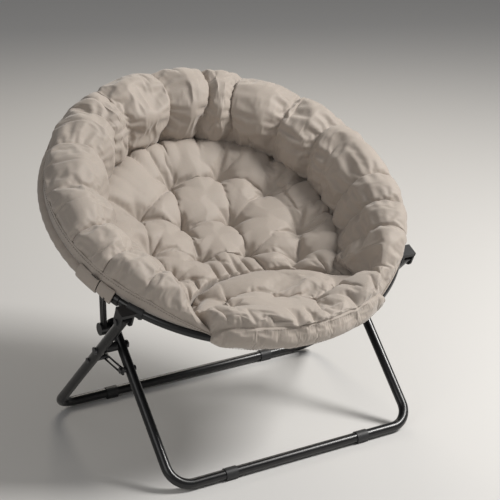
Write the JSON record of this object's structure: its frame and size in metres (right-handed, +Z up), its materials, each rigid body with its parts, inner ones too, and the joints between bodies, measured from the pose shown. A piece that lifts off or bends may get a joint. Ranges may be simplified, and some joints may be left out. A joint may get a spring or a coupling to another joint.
{
  "type": "folding saucer chair",
  "caption": "Round lounge chair: a tilted hoop with a tufted seat and back in a thick gathered roll, on crossed black tube legs that fold",
  "frame": {"origin": "on the floor, below the middle of the chair's outline", "axes": "+Z up, +X to the sitter's left as seen from the front (the viewer's right), +Y towards the back of the chair"},
  "size_m": [0.8294, 0.7604, 0.7272],
  "materials": {
    "black_tube": "gloss black powder coat",
    "black_plastic": "moulded black plastic",
    "dark_steel": "blackened steel",
    "cover_cloth": "smooth taupe woven cloth",
    "lining_cloth": "black lining cloth"
  },
  "bodies": {
    "rear_frame": {"rear_leg_left": "black_tube", "rear_leg_right": "black_tube", "rear_floor_bar": "black_tube", "rear_floor_sleeves": "black_plastic", "rear_leg_plugs": "black_plastic", "crossing_bolts": "dark_steel", "crossing_spacers": "black_plastic", "brace_studs": "dark_steel"},
    "front_frame": {"front_leg_left": "black_tube", "front_leg_right": "black_tube", "front_floor_bar": "black_tube", "front_floor_sleeves": "black_plastic", "front_leg_plugs": "black_plastic", "brace_rivets": "dark_steel", "strut_foot_pins": "dark_steel"},
    "left_brace": {"brace_link_left": "black_tube"},
    "right_brace": {"brace_link_right": "black_tube"},
    "front_hoop": {"front_hoop_tube": "black_tube", "saddle_left": "black_plastic", "saddle_right": "black_plastic", "saddle_pins": "dark_steel", "saddle_screws": "dark_steel", "hinge_fork_left": "black_tube", "hinge_fork_right": "black_tube", "hinge_pins": "dark_steel", "front_rim_padding": "cover_cloth", "front_rim_bands": "cover_cloth", "seat_pad": "cover_cloth", "front_sling": "lining_cloth", "roll_front_left": "cover_cloth", "roll_front_right": "cover_cloth"},
    "back_hoop": {"back_hoop_tube": "black_tube", "hinge_tongue_left": "black_tube", "hinge_tongue_right": "black_tube", "strut_top_pins": "dark_steel", "back_rim_sleeve": "cover_cloth", "back_sling": "lining_cloth", "back_pad": "cover_cloth", "roll_side_left": "cover_cloth", "roll_side_right": "cover_cloth", "roll_back": "cover_cloth"},
    "left_strut": {"strut_left": "black_tube"},
    "right_strut": {"strut_right": "black_tube"}
  },
  "joints": [
    {"name": "leg_fold", "type": "hinge", "parent": "rear_frame", "child": "front_frame", "pos_m": [0, -0.072, 0.25], "axis": [1, 0, 0], "range_deg": [0, 76]},
    {"name": "hoop_tilt", "type": "hinge", "parent": "rear_frame", "child": "front_hoop", "pos_m": [0, -0.18931, 0.3588], "axis": [-1, 0, 0], "range_deg": [0, 10.7]},
    {"name": "hoop_hinge", "type": "hinge", "parent": "front_hoop", "child": "back_hoop", "pos_m": [0, -0.12871, 0.41584], "axis": [1, 0, 0], "range_deg": [0, 125.5], "deforming": ["roll_front_left", "roll_front_right", "roll_side_left", "roll_side_right"]},
    {"name": "left_brace_pivot", "type": "hinge", "parent": "front_frame", "child": "left_brace", "pos_m": [0, -0.11113, 0.20994], "axis": [-1, 0, 0], "range_deg": [0, 38.1]},
    {"name": "right_brace_pivot", "type": "hinge", "parent": "front_frame", "child": "right_brace", "pos_m": [0, -0.11113, 0.20994], "axis": [-1, 0, 0], "range_deg": [0, 38.1]},
    {"name": "left_strut_pivot", "type": "hinge", "parent": "back_hoop", "child": "left_strut", "pos_m": [0, -0.1001, 0.41446], "axis": [-1, 0, 0], "range_deg": [0, 127.5]},
    {"name": "right_strut_pivot", "type": "hinge", "parent": "back_hoop", "child": "right_strut", "pos_m": [0, -0.1001, 0.41446], "axis": [-1, 0, 0], "range_deg": [0, 127.5]}
  ],
  "couplings": [
    {"joint": "hoop_tilt", "follows": "leg_fold", "ratio": 0.14},
    {"joint": "hoop_hinge", "follows": "leg_fold", "ratio": 1.645},
    {"joint": "left_brace_pivot", "follows": "leg_fold", "ratio": 0.5},
    {"joint": "right_brace_pivot", "follows": "leg_fold", "ratio": 0.5},
    {"joint": "left_strut_pivot", "follows": "leg_fold", "ratio": 1.67},
    {"joint": "right_strut_pivot", "follows": "leg_fold", "ratio": 1.67}
  ]
}
